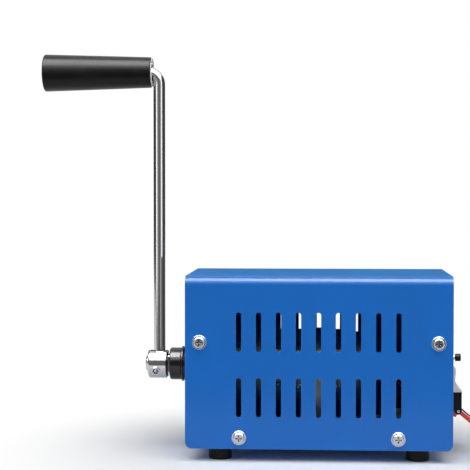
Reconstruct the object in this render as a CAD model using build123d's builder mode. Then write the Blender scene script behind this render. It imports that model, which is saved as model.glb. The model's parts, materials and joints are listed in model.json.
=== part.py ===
"""Hand crank generator in a sheet-metal housing.

The housing is two bent sheets: a chassis with the floor and both end walls, and a cover with the roof, the
front and the back. A crank with a square drive turns a two-stage planetary gearbox, which drives a small
commutator generator. The other end wall carries the output panel.

Frame: +X runs along the housing from the crank to the output panel, +Z is up, and the origin is the middle of
the whole object's outline on the plane that the feet stand on.
"""

import os
from math import acos, cos, pi, radians, sin, sqrt, tan

from build123d import *

# ------------------------------------------------------------------ driving dimensions, in millimetres
# Housing
body_l = 185.0
body_w = 110.0
body_h = 120.0
sheet = 1.2
roof_bend = 6.5
skirt_corner = 4.6
wall_inset = 1.0
side_gap = 0.3
floor_rise = 1.0
floor_bend = 5.4
flange_h = 15.0
corner_relief = 14.0

# Vent slots
slot_columns = 9
slot_pitch = 13.8
slot_w = 3.7
slot_l = 27.3
slot_rows = (35.8, 81.3)

# Cover screws
screw_r = 2.0
screw_head_r = 4.0
screw_head_h = 2.5
screw_l = 7.0
cross_w = 4.4
cross_slot_share = 0.25
cross_depth_share = 0.55
thread_point_share = 0.2
head_dome = 1.3
case_screw_l = 8.0
gear_screw_pcd_r = 18.0
screw_hole_r = 2.25
washer_r = 5.05
washer_t = 0.8
washer_edge = 0.25
nut_flats = 7.0
nut_h = 3.0
thread_show = 1.0
upper_screw_in = 10.0
upper_screw_z = 74.0
lower_screw_x = 55.0
lower_screw_z = 7.8

# Feet
foot_h = 9.0
foot_r = 8.05
foot_x = 69.0
foot_y = 40.0
foot_edge = 1.6
foot_recess_r = 4.4
foot_recess_h = 4.6
foot_bore_r = 2.05

# Crank axis and drive train outside the housing
axis_z = 52.7
nose_r = 11.65
nose_l = 6.8
nose_ring_r = 12.75
nose_ring_t = 1.5
nose_ring_edge = 0.4
bush_r = 9.0
running = 0.05
part_gap = 0.4
coupling_r = 11.65
coupling_l = 8.3
coupling_shank_r = 7.0
coupling_shank_l = 8.0
coupling_chamfer = 0.8
socket_floor = 1.0
socket_end_gap = 0.6
shaft_inset = 0.5
drive_square = 12.7
drive_clearance = 0.15
drive_edge = 0.8
neck_gap = 1.1
hub_r = 10.6
hub_l = 14.8
hub_bevel = 1.6
hub_end_bevel = 1.1
hub_flat = 9.35
dome_r = 5.85
dome_h = 1.9
dome_edge = 1.7
rod_r = 4.25
rod_in_hub = 6.9
rod_depth = 7.0
rod_bend = 8.6
throw = 212.6
ball_r = 1.6
ball_proud = 0.2
ball_hole_r = 2.2
ball_stem_drop = 0.4
ball_ring_r = 3.05
ball_ring_t = 0.7
ball_tilt = 24.5
ball_in = 8.7
plug_r = 4.8
plug_l = 3.0

# Grip
grip_l = 78.8
grip_root_r = 11.1
grip_end_r = 13.6
grip_edge = 1.4
grip_cap_t = 3.0
grip_cap_r = 11.4
grip_groove = 0.4
grip_pocket_r = 8.0
grip_pocket_l = 9.0
collar_r = 10.3
collar_t = 0.6
collar_gap = 0.6
collar_edge = 0.15
retainer_r = 6.4
retainer_t = 1.6
rod_tip_past_retainer = 2.0

# Gear train: two equal planetary stages, ring fixed, carrier driven, sun driving
ring_wall = 4.05
pressure_angle = 20.0
sun_teeth = 12
planet_teeth = 15
planet_count = 3
addendum = 0.75
dedendum = 1.0
ring_addendum = 0.7
ring_dedendum = 0.95
backlash = 0.12
gear_face = 9.0
carrier_rim = 3.0
carrier_t = 4.0
pin_r = 2.0
case_r = 26.0
shaft_r = 5.0
shaft_shoulder = 1.5
cover_block_l = 12.0
bearing_r = 13.0
bearing_w = 8.0
bearing_lip = 2.0
race_t = 2.6
race_balls = 8
stage_gap = 0.5
adapter_t = 7.0

# Generator
can_l = 61.3
can_wall = 2.5
can_edge = 0.6
magnet_t = 2.8
magnet_span = 130.0
magnet_l = 40.0
air_gap = 0.7
rotor_shaft_r = 2.5
rotor_core_l = 30.0
winding_space = 6.0
rotor_slots = 7
rotor_slot_w = 3.2
winding_r = 16.5
winding_l = 6.0
winding_edge = 2.0
commutator_r = 8.0
commutator_l = 8.0
commutator_cut_w = 0.5
commutator_cut_l = 0.8
bell_step = 1.7
bell_l = 12.0
bell_wall = 2.0
bell_spigot_l = 3.0
bell_edge = 1.2
journal_r = 6.5
journal_l = 5.0
shaft_tail = 3.0
brush_w = 5.0
brush_t = 4.0
brush_l = 8.0
holder_wall = 1.2
holder_gap = 1.0

# Saddle under the generator
saddle_w = 20.0
saddle_t = 2.0
saddle_foot_y = 36.0
saddle_ear = 7.0
saddle_seat_h = 4.0
saddle_top_drop = 8.0
saddle_x = -2.0
strap_t = 1.0

# Regulator board
board_l = 44.0
board_w = 62.0
board_t = 1.6
board_corner = 1.5
board_end_gap = 5.3
standoff_h = 6.0
standoff_r = 3.0
board_screw_r = 1.5
board_screw_short = 1.0
capacitor_r = 8.0
capacitor_h = 18.0
capacitor_rim = 0.8
capacitor_x = -5.0
capacitor_edge = 5.0
power_y = -4.0
rectifier_in = 6.0
rectifier_t = 6.0
rectifier_w = 18.0
rectifier_h = 15.0
sink_gap = 1.5
sink_l = 14.0
sink_w = 24.0
sink_h = 12.0
sink_base = 3.0
sink_fins = 6
fin_t = 1.5

# Output panel
fascia_w = 54.0
fascia_top = 54.8
fascia_stand = 4.7
fascia_lip = 9.9
fascia_bottom = 37.0
fascia_edge = 0.9
fascia_edge_in = 0.7
fascia_swell = 0.4
fascia_shoulder = 3.5
fascia_flare = 5.5
fascia_flare_top = 9.0
usb_y = -9.0
usb_z = 47.5
usb_w = 13.1
usb_h = 5.7
usb_depth = 15.0
usb_wall = 0.3
usb_recess = 0.4
usb_back = 1.5
usb_tongue_w = 10.7
usb_tongue_h = 1.8
usb_tongue_z = 0.9
usb_tongue_in = 1.2
window_y = 9.5
window_w = 17.0
window_h = 9.0
window_recess = 0.6
panel_screw_y = 23.6
panel_screw_r = 1.5
panel_head_r = 2.75
panel_head_h = 1.8
panel_cross_w = 3.0
panel_head_dome = 0.8
panel_screw_tail = 2.5

terminal_w = 42.0
terminal_top = 36.8
terminal_seat = 25.0
terminal_lip = 20.2
terminal_stand = 9.9
terminal_nose_h = 1.8
terminal_nose_in = 1.6
terminal_hook_in = 3.6
terminal_hook_back = 6.4
terminal_screw_y = 17.5
wire_r = 1.5
wire_z = 29.0
wire_y = 10.0
wire_l = 9.0
wire_mouth = 0.6
wire_hole_gap = 1.0

lever_w = 8.0
lever_t = 3.0
lever_hub_r = 2.4
lever_pin_r = 1.0
lever_pin_x = 7.6
lever_pin_z = 22.4
lever_tab_l = 14.5
lever_tab_angle = 40.0
lever_cam_l = 5.2
lever_cam_angle = 122.0
lever_slot_gap = 0.35
lever_edge = 0.8

button_z = 58.6
button_bush_r = 3.5
button_bush_l = 4.8
button_thread_r = 3.0
button_nose_r = 1.7
button_nose_l = 1.7
button_r = 2.7
button_l = 3.9
button_rear = 7.0
button_edge = 0.5
button_stem_r = 1.0
button_stem_in = 3.0
button_cup_r = 2.1
button_cup_h = 2.6
switch_size = 12.0
switch_l = 9.0
switch_floor = 1.0
stem_space = 2.0

contact_tail = 5.0
lead_r = 1.0
lead_drop = 10.0
lead_red_y = -1.0
lead_black_y = 6.0
lead_up_in = 9.0

# ------------------------------------------------------------------ worked out from the driving dimensions
wall_x = body_l / 2 - wall_inset
wall_in = wall_x - sheet
floor_top = floor_rise + sheet
chassis_w = body_w - 2 * sheet - 2 * side_gap

nose_x = -wall_x - nose_l
coupling_in = nose_x - nose_ring_t - part_gap
coupling_out = coupling_in - coupling_l
hub_in = coupling_out - neck_gap
hub_out = hub_in - hub_l
rod_x = hub_in - rod_in_hub
grip_z = axis_z + throw
bend_x = rod_x - rod_bend
collar_x = rod_x - rod_r - collar_gap
grip_root = collar_x - collar_t
grip_tip = grip_root - grip_l

panel_x = wall_x
lever_x = panel_x + lever_pin_x
lever_reach = lever_x + lever_tab_l * cos(radians(lever_tab_angle)) + lever_t / 2 * sin(radians(lever_tab_angle))

# The object's outline runs from the grip's end to the levers' tips, and its middle is the origin.
body_x = (-grip_tip - lever_reach) / 2


# ------------------------------------------------------------------ planes in the housing's own coordinates
def facing_x(x, y=0.0, z=0.0):
    """Plane across the crank axis: sketches are drawn in (Y, Z), and extrusions run along +X."""
    return Plane(origin=(body_x + x, y, foot_h + z), x_dir=(0, 1, 0), z_dir=(1, 0, 0))


def facing_front(y, x=0.0, z=0.0):
    """Plane parallel to the front: sketches are drawn in (X, Z), and extrusions run along -Y."""
    return Plane(origin=(body_x + x, y, foot_h + z), x_dir=(1, 0, 0), z_dir=(0, -1, 0))


def facing_back(y, x=0.0, z=0.0):
    """Plane parallel to the back, for pieces that point along +Y."""
    return Plane(origin=(body_x + x, y, foot_h + z), x_dir=(-1, 0, 0), z_dir=(0, 1, 0))


def facing_up(z, x=0.0, y=0.0):
    """Level plane: sketches are drawn in (X, Y), and extrusions run along +Z."""
    return Plane(origin=(body_x + x, y, foot_h + z), x_dir=(1, 0, 0), z_dir=(0, 0, 1))


def facing_down(z, x=0.0, y=0.0):
    """Level plane for pieces that point along -Z."""
    return Plane(origin=(body_x + x, y, foot_h + z), x_dir=(1, 0, 0), z_dir=(0, 0, -1))


def facing_left(x, y=0.0, z=0.0):
    """Plane across the crank axis for pieces that point along -X."""
    return Plane(origin=(body_x + x, y, foot_h + z), x_dir=(0, -1, 0), z_dir=(-1, 0, 0))


# ------------------------------------------------------------------ helpers that draw in the current part
def disc(x0, x1, radius, bore=0.0, z=None, y=0.0, mode=Mode.ADD):
    """A round piece along X from x0 to x1, on the crank axis unless z says otherwise."""
    height = axis_z if z is None else z
    with BuildSketch(facing_x(min(x0, x1), y, height)) as outline:
        Circle(radius)
        if bore > 0:
            Circle(bore, mode=Mode.SUBTRACT)
    extrude(outline.sketch, amount=abs(x1 - x0), mode=mode)


def block(x, y, z, mode=Mode.ADD):
    """A box between the pairs x, y and z of housing coordinates."""
    with BuildSketch(facing_up(z[0], (x[0] + x[1]) / 2, (y[0] + y[1]) / 2)) as outline:
        Rectangle(x[1] - x[0], y[1] - y[0])
    extrude(outline.sketch, amount=z[1] - z[0], mode=mode)


def bolt(radius, head_r, head_h, length, cross, dome):
    """A cross-head screw along -Z from its seat at z = 0, with a domed head above."""
    with BuildPart() as screw:
        with BuildSketch():
            Circle(radius)
        extrude(amount=-length)
        with BuildSketch():
            Circle(head_r)
        extrude(amount=head_h)
        fillet(screw.edges().filter_by(GeomType.CIRCLE).group_by(Axis.Z)[-1], dome)
        with BuildSketch(Plane.XY.offset(head_h)):
            Rectangle(cross, cross * cross_slot_share)
            Rectangle(cross * cross_slot_share, cross)
        extrude(amount=-head_h * cross_depth_share, mode=Mode.SUBTRACT)
        chamfer(screw.edges().filter_by(GeomType.CIRCLE).group_by(Axis.Z)[0], radius * thread_point_share)
    return screw.part


def hex_nut(flats, height, bore_r):
    """A hexagon nut standing on z = 0."""
    with BuildPart() as nut:
        with BuildSketch():
            RegularPolygon(flats / 2, 6, major_radius=False)
            Circle(bore_r, mode=Mode.SUBTRACT)
        extrude(amount=height)
    return nut.part


def finish(piece, name):
    """Labels one finished piece and writes it under its name."""
    piece.label = name
    export_step(piece, f"parts/{name}.step")
    written.append(name)


written = []
os.makedirs("parts", exist_ok=True)

# ------------------------------------------------------------------ housing
skirts = (-1, 1)
ends = (-1, 1)
upper_screw_x = body_l / 2 - upper_screw_in
screw_spots = [(end * upper_screw_x, upper_screw_z) for end in ends]
screw_spots += [(end * lower_screw_x, lower_screw_z) for end in ends]

# The cover is one sheet bent over the roof, open at both ends and below.
with BuildPart() as cover:
    with BuildSketch(facing_x(-body_l / 2, 0, body_h / 2)):
        Rectangle(body_w, body_h)
    extrude(amount=body_l)
    fillet(cover.edges().filter_by(Axis.X).group_by(Axis.Z)[-1], roof_bend)
    open_faces = cover.faces().filter_by(Axis.X) + cover.faces().sort_by(Axis.Z)[:1]
    offset(amount=-sheet, openings=open_faces)
    fillet(cover.edges().filter_by(Axis.Y).group_by(Axis.Z)[0], skirt_corner)
    with BuildSketch(facing_front(0)):
        for row_z in slot_rows:
            with Locations((0, row_z)):
                with GridLocations(slot_pitch, slot_pitch, slot_columns, 1):
                    SlotOverall(slot_l, slot_w, rotation=90)
        with Locations(*screw_spots):
            Circle(screw_hole_r)
    extrude(amount=body_w, both=True, mode=Mode.SUBTRACT)
finish(cover.part, "cover")

# The chassis is the floor with both end walls, and narrow flanges that the cover is screwed to.
inner_y = chassis_w / 2 - sheet
wall_top = body_h - sheet - side_gap
gear_screw_angles = (45, 135, 225, 315)
gear_screw_spots = [
    (gear_screw_pcd_r * cos(radians(a)), gear_screw_pcd_r * sin(radians(a))) for a in gear_screw_angles
]
with BuildPart() as chassis:
    with BuildSketch(facing_front(chassis_w / 2)):
        with BuildLine():
            for half, low, bend in ((wall_x, floor_rise, floor_bend), (wall_in, floor_top, floor_bend - sheet)):
                FilletPolyline((-half, wall_top), (-half, low), (half, low), (half, wall_top), radius=bend)
            for end in ends:
                Line((end * wall_x, wall_top), (end * wall_in, wall_top))
        make_face()
    extrude(amount=chassis_w)
    fillet(chassis.edges().filter_by(Axis.X).group_by(Axis.Z)[-1], roof_bend)
    for side in skirts:
        near = sorted((side * inner_y, side * chassis_w / 2))
        block((-wall_x + corner_relief, wall_x - corner_relief), near, (floor_rise, floor_rise + flange_h))
        for end in ends:
            reach = sorted((end * wall_x, end * (wall_x - flange_h)))
            block(reach, near, (floor_rise + flange_h + part_gap, body_h - 2 * roof_bend))
    with BuildSketch(facing_front(0)):
        with Locations(*screw_spots):
            Circle(screw_r)
    extrude(amount=chassis_w, both=True, mode=Mode.SUBTRACT)
    with BuildSketch(facing_up(0)):
        with GridLocations(2 * foot_x, 2 * foot_y, 2, 2):
            Circle(foot_bore_r)
        with Locations((saddle_x, -saddle_foot_y), (saddle_x, saddle_foot_y)):
            Circle(screw_r)
    extrude(amount=2 * floor_top, mode=Mode.SUBTRACT)
    with BuildSketch(facing_x(-wall_x, 0, axis_z)):
        Circle(nose_r + side_gap)
        with Locations(*gear_screw_spots):
            Circle(screw_r + side_gap)
    extrude(amount=2 * sheet, mode=Mode.SUBTRACT)
    with BuildSketch(facing_x(wall_x - 2 * sheet)):
        with Locations((usb_y, usb_z)):
            Rectangle(usb_w + side_gap, usb_h + side_gap)
        with Locations((window_y, usb_z)):
            Rectangle(window_w, window_h)
        with Locations((0, button_z)):
            Circle(button_thread_r)
        with Locations((-wire_y, wire_z), (wire_y, wire_z)):
            Circle(wire_r + wire_hole_gap)
        with Locations((-panel_screw_y, usb_z), (panel_screw_y, usb_z)):
            Circle(panel_screw_r)
        with Locations((-terminal_screw_y, wire_z), (terminal_screw_y, wire_z)):
            Circle(panel_screw_r)
    extrude(amount=4 * sheet, mode=Mode.SUBTRACT)
finish(chassis.part, "chassis")

side_planes = [facing_front(-body_w / 2, x, z) for x, z in screw_spots]
side_planes += [facing_back(body_w / 2, x, z) for x, z in screw_spots]

with BuildPart() as washer:
    with BuildSketch():
        Circle(washer_r)
        Circle(screw_hole_r, mode=Mode.SUBTRACT)
    extrude(amount=washer_t)
    chamfer(washer.edges().filter_by(GeomType.CIRCLE).group_by(Axis.Z)[-1].sort_by(SortBy.RADIUS)[-1:], washer_edge)

with BuildPart() as cover_washers:
    with Locations(*side_planes):
        add(washer.part)
finish(cover_washers.part, "cover_washers")

cover_screw = bolt(screw_r, screw_head_r, screw_head_h, screw_l, cross_w, head_dome)
with BuildPart() as cover_screws:
    with Locations(*[plane.offset(washer_t) for plane in side_planes]):
        add(cover_screw)
finish(cover_screws.part, "cover_screws")

# ------------------------------------------------------------------ feet
foot_spots = [(x, y) for x in (-foot_x, foot_x) for y in (-foot_y, foot_y)]

with BuildPart() as foot:
    with BuildSketch():
        Circle(foot_r)
    extrude(amount=foot_h + floor_rise)
    fillet(foot.edges().group_by(Axis.Z)[0], foot_edge)
    with BuildSketch():
        Circle(foot_recess_r)
    extrude(amount=foot_recess_h, mode=Mode.SUBTRACT)
    with BuildSketch():
        Circle(foot_bore_r)
    extrude(amount=foot_h + floor_rise, mode=Mode.SUBTRACT)

with BuildPart() as rubber_feet:
    with Locations(*[facing_up(-foot_h, x, y) for x, y in foot_spots]):
        add(foot.part)
finish(rubber_feet.part, "rubber_feet")

foot_screw_l = foot_h + floor_top - foot_recess_h + nut_h + thread_show
foot_screw = bolt(screw_r, screw_head_r, screw_head_h, foot_screw_l, cross_w, head_dome)
with BuildPart() as foot_screws:
    with Locations(*[facing_down(-foot_h + foot_recess_h, x, y) for x, y in foot_spots]):
        add(foot_screw)
finish(foot_screws.part, "foot_screws")

# One size of nut stands behind every cover screw and on every foot screw.
nut_depth = (body_w - chassis_w) / 2 + sheet + nut_h
nut_planes = [plane.offset(-nut_depth) for plane in side_planes]
nut_planes += [facing_up(floor_top, x, y) for x, y in foot_spots]
with BuildPart() as nuts:
    with Locations(*nut_planes):
        add(hex_nut(nut_flats, nut_h, screw_r))
finish(nuts.part, "nuts")

# ------------------------------------------------------------------ gearbox, from the end wall inwards
box_in = -wall_in
case_in = box_in + cover_block_l
ring_teeth = sun_teeth + 2 * planet_teeth
module = 2 * (case_r - ring_wall - ring_dedendum) / ring_teeth
centre_distance = module * (sun_teeth + planet_teeth) / 2
carrier_r = centre_distance + pin_r + carrier_rim
bearing_end = case_in - bearing_lip
bearing_out = bearing_end - bearing_w

with BuildPart() as gearbox_front:
    disc(box_in, case_in, case_r)
    disc(nose_x, box_in, nose_r)
    disc(nose_x, bearing_out, bush_r, mode=Mode.SUBTRACT)
    disc(bearing_out, bearing_end, bearing_r, mode=Mode.SUBTRACT)
    disc(bearing_end, case_in, bearing_r - bearing_lip, mode=Mode.SUBTRACT)
    with BuildSketch(facing_x(box_in, 0, axis_z)):
        with Locations(*gear_screw_spots):
            Circle(screw_r)
    extrude(amount=cover_block_l - bearing_lip, mode=Mode.SUBTRACT)
finish(gearbox_front.part, "gearbox_front")

# The bush's flange is the thin ring that stands out round the nose.
with BuildPart() as flanged_bush:
    disc(nose_x - nose_ring_t, nose_x, nose_ring_r)
    fillet(flanged_bush.edges().filter_by(GeomType.CIRCLE), nose_ring_edge)
    disc(nose_x, bearing_out, bush_r)
    disc(nose_x - nose_ring_t, bearing_out, coupling_shank_r + running, mode=Mode.SUBTRACT)
finish(flanged_bush.part, "flanged_bush")

# The same screw holds the gearbox to the end wall and, from below, the saddle to the floor.
case_screw = bolt(screw_r, screw_head_r, screw_head_h, case_screw_l, cross_w, head_dome)
case_screw_planes = [facing_left(-wall_x, y, axis_z + z) for y, z in gear_screw_spots]
case_screw_planes += [facing_down(floor_rise, saddle_x, side * saddle_foot_y) for side in skirts]
with BuildPart() as case_screws:
    with Locations(*case_screw_planes):
        add(case_screw)
finish(case_screws.part, "case_screws")

# The balls stay with the outer race and run just clear of the inner one.
race_ball_r = (bearing_r - shaft_r - 2 * race_t) / 2 - running
race_mid_r = (bearing_r + shaft_r) / 2
with BuildPart() as bearing_outer:
    disc(bearing_out, bearing_end, bearing_r, bearing_r - race_t)
    with Locations(facing_x((bearing_out + bearing_end) / 2, 0, axis_z)):
        with PolarLocations(race_mid_r, race_balls):
            Sphere(race_ball_r)
finish(bearing_outer.part, "bearing_outer")

with BuildPart() as bearing_inner:
    disc(bearing_out, bearing_end, shaft_r + race_t, shaft_r)
finish(bearing_inner.part, "bearing_inner")


def involute(angle):
    return tan(angle) - angle


def gear_outline(x, y, z, teeth, tip, root, tooth_w, first):
    """A gear's outline across X, its first tooth's middle at the angle `first` from +Y towards +Z.

    The flanks are involutes, drawn as arcs through three of their points, and run straight in to the root
    below the base circle.
    """
    pitch_r = module * teeth / 2
    base_r = pitch_r * cos(radians(pressure_angle))
    tip_r = pitch_r + tip
    root_r = pitch_r - root
    half_pitch = tooth_w / 2 / pitch_r + involute(radians(pressure_angle))

    def half_angle(radius):
        return half_pitch - involute(acos(min(1.0, base_r / radius)))

    def point(radius, angle):
        return (radius * cos(angle), radius * sin(angle))

    foot = max(base_r, root_r)
    flank = [foot, (foot + tip_r) / 2, tip_r]
    step = 2 * pi / teeth
    with BuildSketch(facing_x(x, y, z)) as outline:
        with BuildLine():
            for tooth in range(teeth):
                middle = radians(first) + tooth * step
                rising = [point(r, middle - half_angle(r)) for r in flank]
                falling = [point(r, middle + half_angle(r)) for r in reversed(flank)]
                if root_r < base_r:
                    Line(point(root_r, middle - half_angle(foot)), rising[0])
                ThreePointArc(*rising)
                ThreePointArc(rising[-1], point(tip_r, middle), falling[0])
                ThreePointArc(*falling)
                if root_r < base_r:
                    Line(falling[-1], point(root_r, middle + half_angle(foot)))
                ThreePointArc(
                    point(root_r, middle + half_angle(foot)),
                    point(root_r, middle + step / 2),
                    point(root_r, middle + step - half_angle(foot)),
                )
        make_face()
    return outline.sketch


tooth_w = pi * module / 2 - backlash / 2
planet_angles = [90.0 + 360.0 / planet_count * k for k in range(planet_count)]
planet_spots = [
    (centre_distance * cos(radians(a)), axis_z + centre_distance * sin(radians(a))) for a in planet_angles
]

# Axial places of both stages
plate_1 = case_in + 2 * stage_gap
gears_1 = plate_1 + carrier_t + stage_gap
plate_2 = gears_1 + gear_face + 4 * stage_gap
gears_2 = plate_2 + carrier_t + stage_gap
ring_end = gears_2 + gear_face + 4 * stage_gap
adapter_end = ring_end + adapter_t
can_end = adapter_end + can_l
bell_end = can_end + bell_l

with BuildPart() as ring_gear_case:
    disc(case_in, ring_end, case_r)
    teeth_space = gear_outline(
        case_in, 0, axis_z, ring_teeth, ring_dedendum, ring_addendum, tooth_w + backlash, planet_angles[0]
    )
    extrude(teeth_space, amount=ring_end - case_in, mode=Mode.SUBTRACT)
finish(ring_gear_case.part, "ring_gear_case")


def carrier_pins(x, length):
    """The three planet pins of one stage, in the current part."""
    for y, z in planet_spots:
        disc(x, x + length, pin_r, z=z, y=y)


pin_l = gear_face + 2 * stage_gap

# The first carrier, its pins and the input shaft are one piece. Its end is pressed into the coupling.
shaft_end = coupling_in + shaft_inset
with BuildPart() as input_shaft:
    disc(shaft_end, plate_1, shaft_r)
    disc(bearing_end, plate_1, shaft_r + shaft_shoulder)
    disc(plate_1, plate_1 + carrier_t, carrier_r)
    carrier_pins(plate_1 + carrier_t, pin_l)
finish(input_shaft.part, "input_shaft")


def planet(x, index):
    """One planet gear with its bore, a tooth space towards the sun."""
    y, z = planet_spots[index]
    first = planet_angles[index] + 180 + 180 / planet_teeth
    with BuildPart() as gear:
        outline = gear_outline(x, y, z, planet_teeth, addendum, dedendum, tooth_w, first)
        extrude(outline, amount=gear_face)
        disc(x, x + gear_face, pin_r + running, z=z, y=y, mode=Mode.SUBTRACT)
    return gear.part


for index, letter in enumerate("abc"):
    finish(planet(gears_1, index), f"planet_1{letter}")
    finish(planet(gears_2, index), f"planet_2{letter}")

# The second carrier carries the first stage's sun on its input side.
with BuildPart() as carrier_2:
    sun_1 = gear_outline(gears_1, 0, axis_z, sun_teeth, addendum, dedendum, tooth_w, planet_angles[0])
    extrude(sun_1, amount=plate_2 - gears_1)
    disc(plate_2, plate_2 + carrier_t, carrier_r)
    carrier_pins(plate_2 + carrier_t, pin_l)
finish(carrier_2.part, "carrier_2")

with BuildPart() as motor_adapter:
    disc(ring_end, adapter_end, case_r, rotor_shaft_r + running)
finish(motor_adapter.part, "motor_adapter")

# ------------------------------------------------------------------ generator
magnet_out = case_r - can_wall
magnet_in = magnet_out - magnet_t
core_r = magnet_in - air_gap
core_x = adapter_end + winding_space + winding_l
bell_r = case_r - bell_step
commutator_x = bell_end - journal_l - 2 * stage_gap - commutator_l

with BuildPart() as generator_can:
    disc(adapter_end, can_end, case_r, magnet_out)
    seams = generator_can.edges().filter_by(GeomType.CIRCLE).sort_by(SortBy.RADIUS)[-2:]
    chamfer(seams, can_edge)
finish(generator_can.part, "generator_can")

brush_x = commutator_x + commutator_l / 2


def brush_span(wall):
    """The brushes' extent along X, with a wall round it."""
    return (brush_x - brush_w / 2 - wall, brush_x + brush_w / 2 + wall)


def brush_rise(wall):
    """The brushes' extent in height, with a wall round it."""
    return (axis_z - brush_t / 2 - wall, axis_z + brush_t / 2 + wall)


magnet_x = core_x - (magnet_l - rotor_core_l) / 2
with BuildPart() as magnets:
    disc(magnet_x, magnet_x + magnet_l, magnet_out, magnet_in)
    gap_half = magnet_out * tan(radians((180 - magnet_span) / 2))
    block((magnet_x, magnet_x + magnet_l), (-case_r, case_r), (axis_z - gap_half, axis_z + gap_half), Mode.SUBTRACT)
finish(magnets.part, "magnets")

with BuildPart() as rear_bell:
    disc(can_end, bell_end, bell_r, bell_r - bell_wall)
    disc(can_end - bell_spigot_l, can_end, magnet_out, bell_r - bell_wall)
    disc(bell_end - bell_wall, bell_end, bell_r)
    disc(bell_end - journal_l, bell_end, journal_r)
    rim = rear_bell.edges().filter_by(GeomType.CIRCLE).group_by(Axis.X)[-1].sort_by(SortBy.RADIUS)[-1:]
    fillet(rim, bell_edge)
    disc(bell_end - journal_l, bell_end, rotor_shaft_r + running, mode=Mode.SUBTRACT)
    for side in skirts:
        arm = sorted((side * (commutator_r + holder_gap), side * (bell_r - bell_wall / 2)))
        block(brush_span(holder_wall), arm, brush_rise(holder_wall))
        hollow = sorted((side * commutator_r, side * (commutator_r + running + brush_l)))
        block(brush_span(0), hollow, brush_rise(0), Mode.SUBTRACT)
finish(rear_bell.part, "rear_bell")

# The second stage's sun is cut on the rotor shaft.
sun_2_x = gears_2 + stage_gap
with BuildPart() as rotor_shaft:
    sun_2 = gear_outline(sun_2_x, 0, axis_z, sun_teeth, addendum, dedendum, tooth_w, planet_angles[0])
    extrude(sun_2, amount=gear_face)
    disc(sun_2_x, bell_end + shaft_tail, rotor_shaft_r)
finish(rotor_shaft.part, "rotor_shaft")

with BuildPart() as rotor_core:
    disc(core_x, core_x + rotor_core_l, core_r, rotor_shaft_r)
    with BuildSketch(facing_x(core_x, 0, axis_z)):
        with PolarLocations(core_r, rotor_slots):
            Rectangle(2 * core_r - winding_r, rotor_slot_w)
    extrude(amount=rotor_core_l, mode=Mode.SUBTRACT)
finish(rotor_core.part, "rotor_core")

with BuildPart() as windings:
    for start in (core_x - winding_l, core_x + rotor_core_l):
        disc(start, start + winding_l, winding_r, rotor_shaft_r)
    fillet(windings.edges().filter_by(GeomType.CIRCLE).sort_by(SortBy.RADIUS)[-4:], winding_edge)
finish(windings.part, "windings")

with BuildPart() as commutator:
    disc(commutator_x, commutator_x + commutator_l, commutator_r, rotor_shaft_r)
    with BuildSketch(facing_x(commutator_x, 0, axis_z)):
        with PolarLocations(commutator_r, rotor_slots):
            Rectangle(2 * commutator_cut_l, commutator_cut_w)
    extrude(amount=commutator_l, mode=Mode.SUBTRACT)
finish(commutator.part, "commutator")

with BuildPart() as brushes:
    for side in skirts:
        start = side * (commutator_r + running)
        block(brush_span(0), sorted((start, start + side * brush_l)), brush_rise(0))
finish(brushes.part, "brushes")

# ------------------------------------------------------------------ saddle and strap round the can
saddle_span = (saddle_x - saddle_w / 2, saddle_x + saddle_w / 2)
with BuildPart() as saddle:
    ears = saddle_foot_y + saddle_ear
    block(saddle_span, (-ears, ears), (floor_top, floor_top + saddle_t))
    post_in = case_r - strap_t
    for side in skirts:
        post = sorted((side * post_in, side * (post_in + saddle_t)))
        block(saddle_span, post, (floor_top, axis_z - saddle_top_drop))
    seat_z = axis_z - case_r
    block(saddle_span, (-post_in, post_in), (seat_z - 2 * saddle_t, seat_z + saddle_seat_h))
    disc(saddle_span[0], saddle_span[1], case_r, mode=Mode.SUBTRACT)
    with BuildSketch(facing_up(floor_top, saddle_x)):
        with Locations((0, -saddle_foot_y), (0, saddle_foot_y)):
            Circle(screw_r)
    extrude(amount=saddle_t, mode=Mode.SUBTRACT)
finish(saddle.part, "saddle")

with BuildPart() as strap:
    disc(saddle_span[0], saddle_span[1], case_r + strap_t, case_r)
    reach = case_r + 2 * strap_t
    block(saddle_span, (-reach, reach), (0, axis_z - saddle_top_drop), Mode.SUBTRACT)
finish(strap.part, "strap")

# ------------------------------------------------------------------ regulator board
board_x = wall_in - board_end_gap - board_l / 2
board_z = floor_top + standoff_h
board_spots = [
    (board_x + sx * (board_l / 2 - standoff_r), sy * (board_w / 2 - standoff_r)) for sx in ends for sy in ends
]

with BuildPart() as standoffs:
    for x, y in board_spots:
        with BuildSketch(facing_up(floor_top, x, y)):
            RegularPolygon(standoff_r, 6)
            Circle(board_screw_r, mode=Mode.SUBTRACT)
        extrude(amount=standoff_h)
finish(standoffs.part, "standoffs")

with BuildPart() as regulator_board:
    with BuildSketch(facing_up(board_z, board_x)):
        RectangleRounded(board_l, board_w, board_corner)
        with GridLocations(board_l - 2 * standoff_r, board_w - 2 * standoff_r, 2, 2):
            Circle(board_screw_r, mode=Mode.SUBTRACT)
    extrude(amount=board_t)
finish(regulator_board.part, "regulator_board")

board_screw_l = board_t + standoff_h - board_screw_short
board_screw = bolt(board_screw_r, panel_head_r, panel_head_h, board_screw_l, panel_cross_w, panel_head_dome)
with BuildPart() as board_screws:
    with Locations(*[facing_up(board_z + board_t, x, y) for x, y in board_spots]):
        add(board_screw)
finish(board_screws.part, "board_screws")

deck = board_z + board_t
with BuildPart() as capacitor:
    with BuildSketch(facing_up(deck, board_x + capacitor_x, board_w / 2 - capacitor_edge - capacitor_r)):
        Circle(capacitor_r)
    extrude(amount=capacitor_h)
    fillet(capacitor.edges().filter_by(GeomType.CIRCLE).group_by(Axis.Z)[-1], capacitor_rim)
finish(capacitor.part, "capacitor")

rectifier_x = board_x - board_l / 2 + rectifier_in
with BuildPart() as rectifier:
    block((rectifier_x, rectifier_x + rectifier_t), (power_y - rectifier_w, power_y), (deck, deck + rectifier_h))
finish(rectifier.part, "rectifier")

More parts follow.
